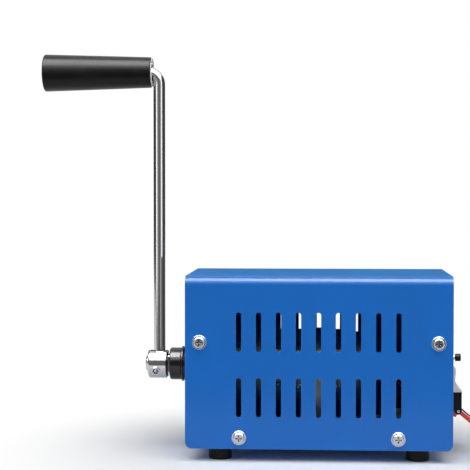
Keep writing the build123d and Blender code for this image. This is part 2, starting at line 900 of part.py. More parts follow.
sink_start = rectifier_x + rectifier_t + sink_gap
sink_x = (sink_start, sink_start + sink_l)
with BuildPart() as heat_sink:
    block(sink_x, (power_y - sink_w, power_y), (deck, deck + sink_base))
    for fin in range(sink_fins):
        start = power_y - sink_w + fin * (sink_w - fin_t) / (sink_fins - 1)
        block(sink_x, (start, start + fin_t), (deck + sink_base, deck + sink_h))
finish(heat_sink.part, "heat_sink")

# ------------------------------------------------------------------ output panel
fascia_front = panel_x + fascia_stand
with BuildPart() as output_fascia:
    with BuildSketch(facing_front(fascia_w / 2)):
        with BuildLine():
            profile = Polyline(
                (fascia_front + fascia_swell / 2, fascia_top - fascia_edge),
                (fascia_front - fascia_edge_in, fascia_top),
                (panel_x, fascia_top),
                (panel_x, fascia_bottom),
                (panel_x + fascia_lip, fascia_bottom),
                (fascia_front + fascia_swell, fascia_bottom + fascia_flare),
            )
            Spline(
                profile @ 1,
                (fascia_front, fascia_bottom + fascia_flare_top),
                (fascia_front + fascia_swell, fascia_top - fascia_shoulder),
                profile @ 0,
            )
        make_face()
    extrude(amount=fascia_w)
    with BuildSketch(facing_x(panel_x)):
        with Locations((usb_y, usb_z)):
            Rectangle(usb_w, usb_h)
        with Locations((window_y, usb_z)):
            Rectangle(window_w, window_h)
        with Locations((-panel_screw_y, usb_z), (panel_screw_y, usb_z)):
            Circle(panel_screw_r)
    extrude(amount=2 * fascia_lip, mode=Mode.SUBTRACT)
    with BuildSketch(facing_x(fascia_front - panel_head_h)):
        with Locations((-panel_screw_y, usb_z), (panel_screw_y, usb_z)):
            Circle(panel_head_r + side_gap)
    extrude(amount=2 * fascia_lip, mode=Mode.SUBTRACT)
finish(output_fascia.part, "output_fascia")

usb_front = fascia_front - usb_recess
with BuildPart() as usb_socket:
    with BuildSketch(facing_x(usb_front - usb_depth, usb_y, usb_z)):
        Rectangle(usb_w, usb_h)
    extrude(amount=usb_depth)
    with BuildSketch(facing_x(usb_front, usb_y, usb_z)):
        Rectangle(usb_w - 2 * usb_wall, usb_h - 2 * usb_wall)
    extrude(amount=usb_back - usb_depth, mode=Mode.SUBTRACT)
    with BuildSketch(facing_x(usb_front - usb_depth, usb_y, usb_z + usb_tongue_z)):
        Rectangle(usb_tongue_w, usb_tongue_h)
    extrude(amount=usb_depth - usb_tongue_in)
finish(usb_socket.part, "usb_socket")

with BuildPart() as display_window:
    with BuildSketch(facing_x(panel_x - sheet, window_y, usb_z)):
        Rectangle(window_w, window_h)
    extrude(amount=fascia_stand + sheet - window_recess)
finish(display_window.part, "display_window")

# Terminal block: a moulding with a hooked lip that carries the levers' pin.
block_front = panel_x + terminal_stand
lever_sides = (-wire_y, wire_y)
with BuildPart() as terminal_block:
    with BuildSketch(facing_front(terminal_w / 2)):
        with BuildLine():
            Polyline(
                (panel_x, terminal_top),
                (block_front, terminal_top),
                (block_front, terminal_lip + terminal_nose_h),
                (block_front - terminal_nose_in, terminal_lip),
                (block_front - terminal_hook_in, terminal_lip),
                (block_front - terminal_hook_back, terminal_seat),
                (panel_x, terminal_seat),
                close=True,
            )
        make_face()
    extrude(amount=terminal_w)
    slot_h = 2 * (lever_pin_z - terminal_lip)
    for y in lever_sides:
        with BuildSketch(facing_front(y + lever_w / 2 + lever_slot_gap)):
            with Locations((lever_x, lever_pin_z)):
                Circle(lever_hub_r + lever_slot_gap)
            with Locations((lever_x, lever_pin_z - slot_h / 2)):
                Rectangle(2 * terminal_stand, slot_h)
        extrude(amount=lever_w + 2 * lever_slot_gap, mode=Mode.SUBTRACT)
        disc(block_front - wire_l, block_front, wire_r, z=wire_z, y=y, mode=Mode.SUBTRACT)
        mouth = terminal_block.edges().filter_by(GeomType.CIRCLE).filter_by_position(
            Axis.X, body_x + block_front - 0.01, body_x + block_front + 0.01
        )
        chamfer(mouth.filter_by(lambda e: abs(e.arc_center.Y - y) < 0.1), wire_mouth)
    with BuildSketch(facing_front(terminal_w / 2, lever_x, lever_pin_z)):
        Circle(lever_pin_r)
    extrude(amount=terminal_w, mode=Mode.SUBTRACT)
    for y in (-terminal_screw_y, terminal_screw_y):
        disc(panel_x, block_front, panel_screw_r, z=wire_z, y=y, mode=Mode.SUBTRACT)
        disc(block_front - panel_head_h, block_front, panel_head_r + side_gap, z=wire_z, y=y, mode=Mode.SUBTRACT)
finish(terminal_block.part, "terminal_block")

# Two pairs of screws hold the fascia and the terminal block to the end wall.
panel_screw_spots = (
    (fascia_front, panel_screw_y, usb_z, fascia_stand),
    (block_front, terminal_screw_y, wire_z, terminal_stand),
)
with BuildPart() as panel_screws:
    for front, y, z, stand in panel_screw_spots:
        length = stand - panel_head_h + sheet + panel_screw_tail
        panel_screw = bolt(panel_screw_r, panel_head_r, panel_head_h, length, panel_cross_w, panel_head_dome)
        with Locations(*[facing_x(front - panel_head_h, side * y, z) for side in skirts]):
            add(panel_screw)
finish(panel_screws.part, "panel_screws")

with BuildPart() as terminal_contacts:
    for y in lever_sides:
        disc(wall_in - contact_tail, panel_x, wire_r, z=wire_z, y=y)
finish(terminal_contacts.part, "terminal_contacts")

with BuildPart() as lever_pin:
    with BuildSketch(facing_front(terminal_w / 2, lever_x, lever_pin_z)):
        Circle(lever_pin_r)
    extrude(amount=terminal_w)
finish(lever_pin.part, "lever_pin")


def lever(y):
    """One spring lever on the pin: a tab to press outside and a short cam below."""
    with BuildPart() as arm:
        with BuildSketch(facing_front(y + lever_w / 2, lever_x, lever_pin_z)) as side_view:
            Circle(lever_hub_r)
            for length, angle in ((lever_tab_l, lever_tab_angle), (lever_cam_l, lever_cam_angle)):
                turn = -angle
                with Locations(Location((0, 0, 0), (0, 0, turn))):
                    with Locations((length / 2, 0)):
                        Rectangle(length, lever_t)
            fillet(side_view.vertices().group_by(Axis.X)[-1], lever_edge)
            Circle(lever_pin_r + running, mode=Mode.SUBTRACT)
        extrude(amount=lever_w)
    return arm.part


finish(lever(-wire_y), "lever_red")
finish(lever(wire_y), "lever_black")

# Push button in a threaded bush
button_x = panel_x + button_rear
with BuildPart() as button_bush:
    disc(panel_x, panel_x + button_bush_l, button_bush_r, z=button_z)
    disc(panel_x + button_bush_l, panel_x + button_bush_l + button_nose_l, button_nose_r, z=button_z)
    disc(wall_in, panel_x, button_thread_r, z=button_z)
    half = switch_size / 2
    block((wall_in - switch_l, wall_in), (-half, half), (button_z - half, button_z + half))
    disc(wall_in - switch_l + switch_floor, block_front, button_stem_r + running, z=button_z, mode=Mode.SUBTRACT)
finish(button_bush.part, "button_bush")

with BuildPart() as push_button:
    disc(button_x, button_x + button_l, button_r, z=button_z)
    fillet(push_button.edges().filter_by(GeomType.CIRCLE).group_by(Axis.X)[-1], button_edge)
    disc(button_x, button_x + button_cup_h, button_cup_r, z=button_z, mode=Mode.SUBTRACT)
    stem_start = wall_in - switch_l + switch_floor + stem_space
    disc(stem_start, button_x + button_stem_in, button_stem_r, z=button_z)
finish(push_button.part, "push_button")

# ------------------------------------------------------------------ crank
ball_x = hub_in - ball_in
ball_angle = radians(ball_tilt)
ball_seat = (rod_r + ball_hole_r * sin(ball_angle)) / cos(ball_angle)
ball_plane = Plane(
    origin=(body_x + ball_x, 0, foot_h + axis_z),
    x_dir=(1, 0, 0),
    z_dir=(0, -cos(ball_angle), -sin(ball_angle)),
)
with BuildPart() as socket_coupling:
    disc(coupling_out, coupling_in, coupling_r)
    rims = socket_coupling.edges().filter_by(GeomType.CIRCLE)
    chamfer(rims.group_by(Axis.X)[0], coupling_chamfer)
    disc(coupling_in, coupling_in + coupling_shank_l, coupling_shank_r)
    with BuildSketch(facing_x(coupling_out, 0, axis_z)):
        Rectangle(drive_square + 2 * drive_clearance, drive_square + 2 * drive_clearance)
    extrude(amount=coupling_l - socket_floor, mode=Mode.SUBTRACT)
    disc(shaft_end, coupling_in + coupling_shank_l, shaft_r, mode=Mode.SUBTRACT)
finish(socket_coupling.part, "socket_coupling")

with BuildPart() as drive_hub:
    disc(hub_out, hub_in, hub_r)
    rims = drive_hub.edges().filter_by(GeomType.CIRCLE).group_by(Axis.X)
    chamfer(rims[0], hub_end_bevel)
    chamfer(rims[-1], hub_bevel)
    with BuildSketch(facing_up(axis_z + hub_flat, (hub_out + hub_in) / 2)):
        Rectangle(hub_l, 2 * hub_r)
    extrude(amount=hub_r, mode=Mode.SUBTRACT)
    with BuildSketch(facing_x(hub_in, 0, axis_z)):
        RectangleRounded(drive_square, drive_square, drive_edge)
    extrude(amount=neck_gap + coupling_l - socket_floor - socket_end_gap)
    disc(hub_out, hub_out + plug_l, plug_r, mode=Mode.SUBTRACT)
    with BuildSketch(ball_plane.offset(hub_r - ball_ring_t)):
        Circle(ball_ring_r)
    extrude(amount=2 * ball_ring_t)
    with BuildSketch(ball_plane.offset(ball_seat)):
        Circle(ball_hole_r)
    extrude(amount=hub_r, mode=Mode.SUBTRACT)
    with BuildSketch(facing_up(axis_z - rod_depth, rod_x)):
        Circle(rod_r)
    extrude(amount=rod_depth + hub_r, mode=Mode.SUBTRACT)
finish(drive_hub.part, "drive_hub")

# A ball in a raised ring holds the rod in the hub.
ball_centre = hub_r + ball_ring_t + ball_proud - ball_r
with BuildPart() as detent_ball:
    with BuildSketch(ball_plane.offset(ball_seat)):
        Circle(ball_hole_r)
    extrude(amount=ball_centre - ball_stem_drop - ball_seat)
    with Locations(ball_plane.offset(ball_centre)):
        Sphere(ball_r)
finish(detent_ball.part, "detent_ball")

with BuildPart() as hub_plug:
    disc(hub_out, hub_out + plug_l, plug_r)
    disc(hub_out - dome_h, hub_out, dome_r)
    fillet(hub_plug.edges().filter_by(GeomType.CIRCLE).group_by(Axis.X)[0], dome_edge)
finish(hub_plug.part, "hub_plug")

# The rod stands in the hub and bends over into the grip.
pocket_floor = grip_tip + grip_cap_t + grip_pocket_l
retainer_x = pocket_floor - part_gap - retainer_t
rod_tip = retainer_x - rod_tip_past_retainer
with BuildPart() as crank_rod:
    with BuildLine(facing_front(0)):
        FilletPolyline((rod_x, axis_z - rod_depth), (rod_x, grip_z), (rod_tip, grip_z), radius=rod_bend)
    with BuildSketch(facing_up(axis_z - rod_depth, rod_x)):
        Circle(rod_r)
    sweep()
finish(crank_rod.part, "crank_rod")

with BuildPart() as grip_retainer:
    disc(retainer_x, retainer_x + retainer_t, retainer_r, rod_r, z=grip_z)
finish(grip_retainer.part, "grip_retainer")


# ------------------------------------------------------------------ grip, free to turn on the rod
def bend_drop(x):
    """How far the inner side of the rod's bend lies below the grip's axis at x, with a clearance."""
    inner = rod_bend - rod_r
    return rod_bend - sqrt(inner**2 - (x - bend_x) ** 2) + part_gap


with BuildPart() as grip:
    with BuildSketch(facing_front(0, 0, grip_z)) as half_section:
        with BuildLine():
            Polyline(
                (bend_x - part_gap, rod_r + running),
                (bend_x - part_gap, bend_drop(grip_root)),
                (grip_root, bend_drop(grip_root)),
                (grip_root, grip_root_r),
                (grip_tip, grip_end_r),
                (grip_tip, grip_cap_r),
                (grip_tip + grip_cap_t, grip_cap_r),
                (grip_tip + grip_cap_t, grip_pocket_r),
                (pocket_floor, grip_pocket_r),
                (pocket_floor, rod_r + running),
                close=True,
            )
        make_face()
        fillet(half_section.vertices().group_by(Axis.Y)[-1], grip_edge)
        root_corner = half_section.vertices().group_by(Axis.X)[-1].sort_by(Axis.Y)[-1:]
        fillet(root_corner, grip_root_r - collar_r)
    revolve(axis=Axis((body_x, 0, foot_h + grip_z), (1, 0, 0)))
finish(grip.part, "grip")

with BuildPart() as grip_collar:
    disc(grip_root, collar_x, collar_r, bend_drop(collar_x), z=grip_z)
    rims = grip_collar.edges().filter_by(GeomType.CIRCLE).sort_by(SortBy.RADIUS)[-2:]
    chamfer(rims, collar_edge)
finish(grip_collar.part, "grip_collar")

with BuildPart() as grip_end_cap:
    disc(grip_tip + grip_groove, grip_tip + grip_cap_t, grip_cap_r, z=grip_z)
    chamfer(grip_end_cap.edges().filter_by(GeomType.CIRCLE).group_by(Axis.X)[0], grip_groove)
finish(grip_end_cap.part, "grip_end_cap")

# ------------------------------------------------------------------ leads inside the housing
bell_lead_z = axis_z - lead_drop
lead_up_x = board_x + board_l / 2 - lead_up_in
contact_end = wall_in - contact_tail


def lead(bell_y, wire_side_y):
    """The two leads of one polarity: generator to board, and board to terminal."""
    with BuildPart() as wires:
        routes = (
            ((bell_end, bell_y, bell_lead_z), (board_x, bell_y, bell_lead_z), (board_x, bell_y, deck)),
            ((lead_up_x, wire_side_y, deck), (lead_up_x, wire_side_y, wire_z), (contact_end, wire_side_y, wire_z)),
        )
        for route in routes:
            corners = [Vector(body_x + x, y, foot_h + z) for x, y, z in route]
            runs = [(b - a).length for a, b in zip(corners, corners[1:])]
            radius = 0.45 * min(runs)
            with BuildLine() as path:
                FilletPolyline(*corners, radius=radius)
            start = Plane(origin=corners[0], z_dir=corners[1] - corners[0])
            with BuildSketch(start) as section:
                Circle(lead_r)
            sweep(section.sketch, path=path.wire())
            print("lead arc radius", round(radius, 2))
    return wires.part


finish(lead(lead_red_y, -wire_y), "lead_red")
finish(lead(lead_black_y, wire_y), "lead_black")

print("nodes", len(written))
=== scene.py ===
# %% [markdown]
# # A hand crank generator, dressed for the studio
#
# The engineering model gives every piece its true size and place: a bent sheet housing, a planetary gearbox, a small
# generator, a crank with a turning grip, and an output panel. This script puts the looks on it. It first loads that
# model as a fixed frame, then makes the softened and detailed pieces, then the finishes, and last the studio.
#
# All lengths are in metres, and `mm` turns a maker's millimetres into them.

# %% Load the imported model
import json
import math

import bmesh
import bpy
from mathutils import Matrix, Vector


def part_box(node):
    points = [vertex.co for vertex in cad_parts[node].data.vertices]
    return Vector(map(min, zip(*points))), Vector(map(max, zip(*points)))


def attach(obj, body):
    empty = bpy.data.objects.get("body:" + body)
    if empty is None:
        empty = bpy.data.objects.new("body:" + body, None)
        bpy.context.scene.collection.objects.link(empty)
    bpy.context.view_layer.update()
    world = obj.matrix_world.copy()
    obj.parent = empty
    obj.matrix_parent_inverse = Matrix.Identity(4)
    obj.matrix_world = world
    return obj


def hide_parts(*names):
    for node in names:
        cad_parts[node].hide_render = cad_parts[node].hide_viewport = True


mm = 0.001
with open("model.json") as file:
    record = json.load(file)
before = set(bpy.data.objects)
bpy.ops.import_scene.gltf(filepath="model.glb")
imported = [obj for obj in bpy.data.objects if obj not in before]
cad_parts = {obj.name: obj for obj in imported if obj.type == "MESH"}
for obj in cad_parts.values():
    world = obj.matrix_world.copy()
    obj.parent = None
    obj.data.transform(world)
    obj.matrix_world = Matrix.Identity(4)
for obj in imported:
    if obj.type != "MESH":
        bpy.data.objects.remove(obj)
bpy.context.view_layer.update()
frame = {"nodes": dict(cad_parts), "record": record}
nodes = frame["nodes"]
body_of = {n: body for body, names in frame["record"]["behaviour"]["bodies"].items() for n in names}
slot_of = {part["node"]: part["material_slot"] for part in frame["record"]["subparts"]}

# %% [markdown]
# ## Where things are
#
# Every new piece takes its place from the boxes of the nodes that it stands for or sits on, never from typed
# coordinates, so it stays right when the engineering model changes size.


# %% Helpers that read places from the model
def middle(node):
    """The middle of a node's box."""
    low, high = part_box(node)
    return (low + high) / 2


def axis_turn(axis):
    """A turn that lays a shape made along +Z along another axis."""
    return Vector((0, 0, 1)).rotation_difference(Vector(axis)).to_matrix().to_4x4()


crank_axis = Vector((0, middle("hub_plug").y, middle("hub_plug").z))
print("crank axis at height", round(crank_axis.z / mm, 2), "mm")

# %% [markdown]
# ## Soft edges on the sheet metal, castings and mouldings
#
# No real edge is perfectly sharp: paint rounds a sheet's edge, a tumbled casting has a tiny radius, and a moulding
# must leave its tool. A thin line of light along every edge is what tells the eye that a thing is real. The
# engineering node has sharp edges, and its mesh may not be changed. So a copy is merged into one skin, its flat faces
# are joined, and its sharp edges are bevelled. A modifier that weights the normals keeps the flat faces looking flat.


# %% A softened copy of a node
weld_gap = 0.002 * mm
flat_angle = math.radians(0.6)
sharp_angle = math.radians(30.0)


def soft_copy(node, edge):
    """Shows a copy of the node with rounded edges in its place."""
    skin = bmesh.new()
    skin.from_mesh(nodes[node].data)
    bmesh.ops.remove_doubles(skin, verts=skin.verts[:], dist=weld_gap)
    bmesh.ops.dissolve_limit(
        skin, angle_limit=flat_angle, use_dissolve_boundaries=False, verts=skin.verts[:], edges=skin.edges[:]
    )
    corners = [e for e in skin.edges if e.is_manifold and e.calc_face_angle(0) > sharp_angle]
    bmesh.ops.bevel(
        skin, geom=corners, offset=edge, offset_type="OFFSET", segments=2, profile=0.5, affect="EDGES",
        clamp_overlap=True, material=-1,
    )
    return place(skin, node + "_soft", body_of[node], slot_of[node], [node])


def place(shape, name, body, slot, stands_for=()):
    """Turns a finished bmesh into a piece that rides on its body."""
    for face in shape.faces:
        face.smooth = True
        face.material_index = 0
    mesh = bpy.data.meshes.new(name)
    shape.to_mesh(mesh)
    shape.free()
    for extra in ("custom_normal", "UVMap"):
        if extra in mesh.attributes:
            mesh.attributes.remove(mesh.attributes[extra])
    piece = bpy.data.objects.new(name, mesh)
    bpy.context.scene.collection.objects.link(piece)
    weigh = piece.modifiers.new("flat faces stay flat", "WEIGHTED_NORMAL")
    weigh.keep_sharp = True
    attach(piece, body)
    if stands_for:
        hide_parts(*stands_for)
    made[name] = piece
    finish_of[name] = slot
    return piece


made = {}
finish_of = {}

# %% The pieces that only need soft edges, each with its edge radius in mm
soft_edges = {
    "cover": 0.22, "chassis": 0.2, "cover_washers": 0.12, "cover_screws": 0.12, "case_screws": 0.12,
    "flanged_bush": 0.1, "socket_coupling": 0.25, "drive_hub": 0.3, "gearbox_front": 0.3, "output_fascia": 0.3,
    "terminal_block": 0.3, "lever_red": 0.35, "lever_black": 0.35, "button_bush": 0.15, "usb_socket": 0.06,
    "display_window": 0.15, "panel_screws": 0.1, "generator_can": 0.2, "saddle": 0.2, "strap": 0.15,
}
for node, edge in soft_edges.items():
    piece = soft_copy(node, edge * mm)
    print("softened", node, len(piece.data.polygons), "faces")

# %% [markdown]
# ## The grip
#
# The grip is one long black moulding that widens towards its free end and turns on the rod. On a lathe its whole shape
# is a single line, so the line is drawn first, from the bore at the crank's side, over the rounded shoulders, to the
# recess for the end cap, and spun once round the grip's axis. A shallow ring near the free end is the moulding's
# parting line.


# %% A line spun round an axis
spin_steps = 96


def spun(points, origin, axis):
    """A closed shape from a line of (along, radius) points, spun round an axis."""
    shape = bmesh.new()
    row = [shape.verts.new((radius, 0, along)) for along, radius in points]
    lines = [shape.edges.new(pair) for pair in zip(row, row[1:] + row[:1])]
    bmesh.ops.spin(
        shape, geom=row + lines, cent=(0, 0, 0), axis=(0, 0, 1), angle=2 * math.pi, steps=spin_steps, use_merge=True,
        use_duplicate=False,
    )
    bmesh.ops.remove_doubles(shape, verts=shape.verts[:], dist=0.001 * mm)
    bmesh.ops.recalc_face_normals(shape, faces=shape.faces[:])
    shape.transform(Matrix.Translation(origin) @ axis_turn(axis))
    return shape


def rounded(corner, before, after, radius, count=6):
    """Points of a soft corner: a quadratic bend from one leg to the other."""
    corner = Vector(corner)
    start = corner + (Vector(before) - corner).normalized() * radius
    end = corner + (Vector(after) - corner).normalized() * radius
    steps = [i / count for i in range(count + 1)]
    return [tuple((1 - t) ** 2 * start + 2 * t * (1 - t) * corner + t * t * end) for t in steps]


# %% The grip's outline
grip_low, grip_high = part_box("grip")
cap_low, cap_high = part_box("grip_end_cap")
grip_z = (grip_low.z + grip_high.z) / 2
grip_length = grip_high.x - grip_low.x
free_r = (grip_high.z - grip_low.z) / 2
root_r = 11.1 * mm
running_gap = 0.05 * mm
cap_r = (cap_high.z - cap_low.z) / 2
cap_depth = cap_high.x - grip_low.x
rod_r = (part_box("crank_rod")[1].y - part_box("crank_rod")[0].y) / 2
bore_r = rod_r + running_gap
print("grip", round(grip_length / mm, 1), "mm long, radius", round(root_r / mm, 1), "to", round(free_r / mm, 1), "mm")

# %% The grip as one spun moulding
# The bore and the pocket keep the node's own sizes, and only the outside gets softer.
grip_node = nodes["grip"].data
radii = [math.hypot(v.co.y, v.co.z - grip_z) for v in grip_node.vertices]
mouth_r = min(r for v, r in zip(grip_node.vertices, radii) if v.co.x > grip_high.x - 0.05 * mm)
stations = {round(v.co.x, 6) for v in grip_node.vertices}
pocket_floor = max(x for x in stations if x < grip_low.x + 20 * mm)
mouth_floor = min(x for x in stations if x > grip_high.x - 10 * mm)
cap_seat = grip_low.x + cap_depth
pocket_r = min(r for v, r in zip(grip_node.vertices, radii) if abs(v.co.x - cap_seat) < 0.01 * mm)
print("bore mouth radius", round(mouth_r / mm, 2), "pocket radius", round(pocket_r / mm, 2), "mm")


def along(x):
    """Distance from the free end, in towards the crank."""
    return x - grip_low.x


def taper(distance):
    """The grip's outer radius at a distance from its free end."""
    return free_r + (root_r - free_r) * distance / grip_length


free_shoulder = rounded((0, free_r), (0, cap_r), (grip_length, root_r), 1.5 * mm)
root_shoulder = rounded((grip_length, root_r), (0, free_r), (grip_length, mouth_r), 1.3 * mm)
ring_at = 2.6 * mm
ring_end = ring_at + 0.42 * mm
ring_r = taper(ring_at) - 0.14 * mm
ring = [(ring_at, taper(ring_at)), (ring_at + 0.12 * mm, ring_r), (ring_at + 0.3 * mm, ring_r)]
ring += [(ring_end, taper(ring_end))]
belly = [(grip_length * share, taper(grip_length * share)) for share in (0.1, 0.25, 0.5, 0.75, 0.95)]
outside = free_shoulder + ring + belly + root_shoulder
inside = [(grip_length, mouth_r), (along(mouth_floor), mouth_r), (along(mouth_floor), bore_r)]
inside += [(along(pocket_floor), bore_r), (along(pocket_floor), pocket_r), (cap_depth, pocket_r)]
inside += [(cap_depth, cap_r), (0.25 * mm, cap_r), (0, cap_r + 0.2 * mm)]
grip_shape = spun(outside + inside, (grip_low.x, 0, grip_z), (1, 0, 0))
grip = place(grip_shape, "grip_moulding", "handle", "black_plastic", ["grip"])
print("grip made of", len(grip.data.polygons), "faces")

# %% [markdown]
# ## Finishes: the effects that several materials share
#
# A real finish is never one flat colour. Powder coat has a fine orange peel, handled metal has dull and bright
# patches, edges lose a little colour, and dust settles on what faces up. Each of these effects is a node group with
# named inputs, made once and placed in every material that needs it, with its own values. The groups read Object
# coordinates, which stay with the piece, and put out only colours and values, so that they can be baked.


# %% A helper that makes a node group
def effect(name, inputs, outputs):
    """An empty shader group with named sockets. Returns the group and its two end nodes."""
    tree = bpy.data.node_groups.new(name, "ShaderNodeTree")
    for title, kind, value in inputs:
        socket = tree.interface.new_socket(name=title, in_out="INPUT", socket_type=kind)
        socket.default_value = value
    for title, kind in outputs:
        tree.interface.new_socket(name=title, in_out="OUTPUT", socket_type=kind)
    return tree, tree.nodes.new("NodeGroupInput"), tree.nodes.new("NodeGroupOutput")


def joined(tree, *pairs):
    """Links each (output, input) pair in a node tree."""
    for out, into in pairs:
        tree.links.new(out, into)


def maths(tree, what, first, second=None, clamp=False):
    """One Math node with sockets or numbers as its inputs. Returns its output."""
    node = tree.nodes.new("ShaderNodeMath")
    node.operation = what
    node.use_clamp = clamp
    for socket, value in zip(node.inputs, (first, second)):
        if isinstance(value, (int, float)):
            socket.default_value = value
        elif value is not None:
            tree.links.new(value, socket)
    return node.outputs[0]


def blended(tree, share, first, second):
    """One colour Mix node. Returns its colour output."""
    node = tree.nodes.new("ShaderNodeMix")
    node.data_type = "RGBA"
    for socket, value in ((node.inputs[0], share), (node.inputs[6], first), (node.inputs[7], second)):
        if isinstance(value, (int, float, tuple)):
            socket.default_value = value
        else:
            tree.links.new(value, socket)
    return node.outputs[2]


COLOUR, NUMBER = "NodeSocketColor", "NodeSocketFloat"

# %% Fine grain: the tiny hills of paint, plastic and castings
grain, grain_in, grain_out = effect(
    "fine grain", [("Size", NUMBER, 1.0), ("Roughness", NUMBER, 0.5)], [("Height", NUMBER)]
)
where = grain.nodes.new("ShaderNodeTexCoord")
hills = grain.nodes.new("ShaderNodeTexNoise")
hills.inputs["Detail"].default_value = 3.0
joined(
    grain,
    (where.outputs["Object"], hills.inputs["Vector"]),
    (maths(grain, "DIVIDE", 1.0 / mm, grain_in.outputs["Size"]), hills.inputs["Scale"]),
    (grain_in.outputs["Roughness"], hills.inputs["Roughness"]),
    (hills.outputs["Fac"], grain_out.inputs["Height"]),
)
print("effect", grain.name)

# %% Handled surface: soft patches that change the colour and the shine a little
patches, patches_in, patches_out = effect(
    "handled surface",
    [("Color", COLOUR, (1, 1, 1, 1)), ("Patch color", COLOUR, (1, 1, 1, 1)), ("Patch amount", NUMBER, 0.2),
     ("Patch size", NUMBER, 30.0), ("Shine low", NUMBER, 0.3), ("Shine high", NUMBER, 0.4)],
    [("Color", COLOUR), ("Roughness", NUMBER)],
)
where = patches.nodes.new("ShaderNodeTexCoord")
clouds = patches.nodes.new("ShaderNodeTexNoise")
clouds.inputs["Detail"].default_value = 4.0
clouds.inputs["Distortion"].default_value = 0.6
spread = patches.nodes.new("ShaderNodeMapRange")
spread.inputs["From Min"].default_value = 0.35
spread.inputs["From Max"].default_value = 0.65
shine = patches.nodes.new("ShaderNodeMapRange")
joined(
    patches,
    (where.outputs["Object"], clouds.inputs["Vector"]),
    (maths(patches, "DIVIDE", 1.0 / mm, patches_in.outputs["Patch size"]), clouds.inputs["Scale"]),
    (clouds.outputs["Fac"], spread.inputs["Value"]),
    (spread.outputs["Result"], shine.inputs["Value"]),
    (patches_in.outputs["Shine low"], shine.inputs["To Min"]),
    (patches_in.outputs["Shine high"], shine.inputs["To Max"]),
    (shine.outputs["Result"], patches_out.inputs["Roughness"]),
)
amount = maths(patches, "MULTIPLY", spread.outputs["Result"], patches_in.outputs["Patch amount"])
tinted = blended(patches, amount, patches_in.outputs["Color"], patches_in.outputs["Patch color"])
joined(patches, (tinted, patches_out.inputs["Color"]))
print("effect", patches.name)

# %% Edge wear: edges are where hands and tools rub, so they show a little brighter
wear, wear_in, wear_out = effect(
    "edge wear",
    [("Color", COLOUR, (1, 1, 1, 1)), ("Worn color", COLOUR, (1, 1, 1, 1)), ("Width", NUMBER, 0.4),
     ("Amount", NUMBER, 0.5)],
    [("Color", COLOUR)],
)
flat = wear.nodes.new("ShaderNodeNewGeometry")
curved = wear.nodes.new("ShaderNodeBevel")
curved.samples = 4
turn = wear.nodes.new("ShaderNodeVectorMath")
turn.operation = "DOT_PRODUCT"
where = wear.nodes.new("ShaderNodeTexCoord")
chips = wear.nodes.new("ShaderNodeTexNoise")
chips.inputs["Scale"].default_value = 0.35 / mm
joined(
    wear,
    (maths(wear, "MULTIPLY", wear_in.outputs["Width"], mm), curved.inputs["Radius"]),
    (flat.outputs["Normal"], turn.inputs[0]),
    (curved.outputs["Normal"], turn.inputs[1]),
    (where.outputs["Object"], chips.inputs["Vector"]),
)
edge_gain, chip_gain = 7.0, 1.6
edge_share = maths(wear, "MULTIPLY", maths(wear, "SUBTRACT", 1.0, turn.outputs["Value"]), edge_gain, clamp=True)
broken = maths(wear, "MULTIPLY", edge_share, maths(wear, "MULTIPLY", chips.outputs["Fac"], chip_gain), clamp=True)
mask = maths(wear, "MULTIPLY", broken, wear_in.outputs["Amount"])
worn = blended(wear, mask, wear_in.outputs["Color"], wear_in.outputs["Worn color"])
joined(wear, (worn, wear_out.inputs["Color"]))
print("effect", wear.name)

# %% Settled dust: a pale veil on what faces up
dust, dust_in, dust_out = effect(
    "settled dust",
    [("Color", COLOUR, (1, 1, 1, 1)), ("Roughness", NUMBER, 0.4), ("Amount", NUMBER, 0.1)],
    [("Color", COLOUR), ("Roughness", NUMBER)],
)
surface = dust.nodes.new("ShaderNodeNewGeometry")
height = dust.nodes.new("ShaderNodeSeparateXYZ")
where = dust.nodes.new("ShaderNodeTexCoord")
specks = dust.nodes.new("ShaderNodeTexNoise")
specks.inputs["Scale"].default_value = 0.5 / mm
specks.inputs["Detail"].default_value = 6.0
joined(
    dust,
    (surface.outputs["Normal"], height.inputs["Vector"]),
    (where.outputs["Object"], specks.inputs["Vector"]),
)
dust_colour = (0.62, 0.6, 0.56, 1)
slope, steepness = 0.55, 2.2
upward = maths(dust, "MULTIPLY", maths(dust, "SUBTRACT", height.outputs["Z"], slope), steepness, clamp=True)
lying = maths(dust, "MULTIPLY", upward, maths(dust, "MULTIPLY", specks.outputs["Fac"], dust_in.outputs["Amount"]))
dusted = blended(dust, lying, dust_in.outputs["Color"], dust_colour)
duller = maths(dust, "ADD", dust_in.outputs["Roughness"], maths(dust, "MULTIPLY", lying, 0.5))
joined(dust, (dusted, dust_out.inputs["Color"]), (duller, dust_out.inputs["Roughness"]))
print("effect", dust.name)

# %% Painted shade in recesses: an occlusion mask darkens hollows, creases and joints as shade falling there would
recess_shade_tree, recess_shade_in, recess_shade_out = effect(
    "painted shade in recesses",
    [("Color", COLOUR, (1, 1, 1, 1)), ("Shade color", COLOUR, (0.02, 0.02, 0.02, 1)), ("Reach", NUMBER, 1.0),
     ("Amount", NUMBER, 0.8)],
    [("Color", COLOUR)],
)
hollow = recess_shade_tree.nodes.new("ShaderNodeAmbientOcclusion")
hollow.samples = 6
hollow.only_local = True
joined(recess_shade_tree, (maths(recess_shade_tree, "MULTIPLY", recess_shade_in.outputs["Reach"], mm), hollow.inputs["Distance"]))
# painted shade: where the occlusion mask finds the surface hemmed in, the colour is darkened towards near black
depth = maths(recess_shade_tree, "MULTIPLY", maths(recess_shade_tree, "SUBTRACT", 1.0, hollow.outputs["AO"]), 2.0, clamp=True)
painted_recess_shade = maths(recess_shade_tree, "MULTIPLY", depth, recess_shade_in.outputs["Amount"])
darker = blended(recess_shade_tree, painted_recess_shade, recess_shade_in.outputs["Color"], recess_shade_in.outputs["Shade color"])
joined(recess_shade_tree, (darker, recess_shade_out.inputs["Color"]))
print("effect", recess_shade_tree.name)

